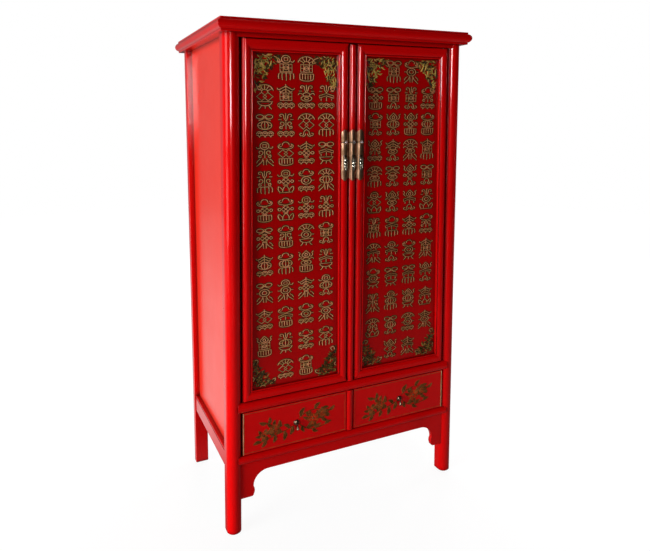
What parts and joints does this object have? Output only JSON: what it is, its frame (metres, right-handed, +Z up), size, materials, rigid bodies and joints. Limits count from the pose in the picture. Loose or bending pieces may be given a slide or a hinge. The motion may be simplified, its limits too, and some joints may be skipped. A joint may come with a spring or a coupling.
{
  "type": "wedding cabinet",
  "caption": "Tall tapering red-lacquered cabinet: framed doors beside a lift-out centre stile, drawers below, and a shaped apron between splayed legs.",
  "frame": {"origin": "on the floor, at the middle of the overall box seen from above", "axes": "+X to the right of someone facing the doors, +Y from the doors to the back, +Z up"},
  "size_m": [1.0476, 0.652, 1.85],
  "materials": {
    "frame_lacquer": "glossy red lacquer, slightly worn",
    "cornice_lacquer": "glossy red lacquer",
    "side_lacquer": "semi-gloss red lacquer",
    "door_panel_lacquer": "semi-gloss dark red lacquer",
    "drawer_lacquer": "glossy red lacquer",
    "inside_wood": "thin red wash on bare wood",
    "brass": "antique brass, tarnished",
    "gilding": "raised lines of dull gold paint, on the door panels in the visual model",
    "leaf_paint": "painted leaves and blossoms on the drawer fronts in the visual model"
  },
  "bodies": {
    "carcass": {"post_front_left": "frame_lacquer", "post_front_right": "frame_lacquer", "post_back_left": "frame_lacquer", "post_back_right": "frame_lacquer", "cornice_front": "cornice_lacquer", "cornice_right": "cornice_lacquer", "cornice_back": "cornice_lacquer", "cornice_left": "cornice_lacquer", "top_panel": "cornice_lacquer", "head_rail_front": "frame_lacquer", "head_rail_back": "inside_wood", "mid_rail": "frame_lacquer", "lower_rail_front": "frame_lacquer", "lower_rail_back": "inside_wood", "side_rail_left": "frame_lacquer", "side_rail_right": "frame_lacquer", "side_panel_left": "side_lacquer", "side_panel_right": "side_lacquer", "back_panel": "inside_wood", "apron": "frame_lacquer", "apron_bracket_left": "frame_lacquer", "apron_bracket_right": "frame_lacquer", "cabinet_floor": "inside_wood", "shelf": "inside_wood", "side_bearers": "inside_wood", "drawer_case_floor": "inside_wood", "drawer_runners": "inside_wood", "drawer_divider": "frame_lacquer"},
    "centre_stile": {"centre_stile": "frame_lacquer", "centre_stile_plate": "brass", "centre_stile_eyes": "brass"},
    "centre_pendant": {"centre_pendant": "brass"},
    "door_left": {"door_left_foot_rail": "frame_lacquer", "door_left_meeting_stile": "frame_lacquer", "door_left_head_rail": "frame_lacquer", "door_left_hinge_stile": "frame_lacquer", "door_left_panel": "door_panel_lacquer", "door_left_plate": "brass", "door_left_eyes": "brass"},
    "door_left_pendant": {"door_left_pendant": "brass"},
    "drawer_left": {"drawer_left_front": "drawer_lacquer", "drawer_left_sides": "inside_wood", "drawer_left_back": "inside_wood", "drawer_left_bottom": "inside_wood", "drawer_left_rose": "brass"},
    "drawer_left_drop": {"drawer_left_drop": "brass"},
    "door_right": {"door_right_foot_rail": "frame_lacquer", "door_right_meeting_stile": "frame_lacquer", "door_right_head_rail": "frame_lacquer", "door_right_hinge_stile": "frame_lacquer", "door_right_panel": "door_panel_lacquer", "door_right_plate": "brass", "door_right_eyes": "brass"},
    "door_right_pendant": {"door_right_pendant": "brass"},
    "drawer_right": {"drawer_right_front": "drawer_lacquer", "drawer_right_sides": "inside_wood", "drawer_right_back": "inside_wood", "drawer_right_bottom": "inside_wood", "drawer_right_rose": "brass"},
    "drawer_right_drop": {"drawer_right_drop": "brass"}
  },
  "joints": [
    {"name": "door_left_swing", "type": "hinge", "parent": "carcass", "child": "door_left", "pos_m": [-0.4279, -0.284, 0.551], "axis": [-0.04, 0, -0.9992], "range_deg": [0, 95]},
    {"name": "door_left_pendant_swing", "type": "hinge", "parent": "door_left", "child": "door_left_pendant", "pos_m": [-0.031, -0.30475, 1.42202], "axis": [-1, 0, 0], "range_deg": [-1.5, 80]},
    {"name": "drawer_left_slide", "type": "slide", "parent": "carcass", "child": "drawer_left", "axis": [0, -1, 0], "range_m": [0, 0.33]},
    {"name": "drawer_left_drop_swing", "type": "hinge", "parent": "drawer_left", "child": "drawer_left_drop", "pos_m": [-0.23261, -0.307, 0.4185], "axis": [-1, 0, 0], "range_deg": [-3, 80]},
    {"name": "door_right_swing", "type": "hinge", "parent": "carcass", "child": "door_right", "pos_m": [0.4279, -0.284, 0.551], "axis": [-0.04, 0, 0.9992], "range_deg": [0, 95]},
    {"name": "door_right_pendant_swing", "type": "hinge", "parent": "door_right", "child": "door_right_pendant", "pos_m": [0.031, -0.30475, 1.42202], "axis": [-1, 0, 0], "range_deg": [-1.5, 80]},
    {"name": "drawer_right_slide", "type": "slide", "parent": "carcass", "child": "drawer_right", "axis": [0, -1, 0], "range_m": [0, 0.33]},
    {"name": "drawer_right_drop_swing", "type": "hinge", "parent": "drawer_right", "child": "drawer_right_drop", "pos_m": [0.23261, -0.307, 0.4185], "axis": [-1, 0, 0], "range_deg": [-3, 80]},
    {"name": "centre_stile_lift", "type": "slide", "parent": "carcass", "child": "centre_stile", "axis": [0, 0, 1], "range_m": [0, 0.006]},
    {"name": "centre_pendant_swing", "type": "hinge", "parent": "centre_stile", "child": "centre_pendant", "pos_m": [0, -0.30575, 1.42202], "axis": [-1, 0, 0], "range_deg": [-1.5, 80]}
  ]
}
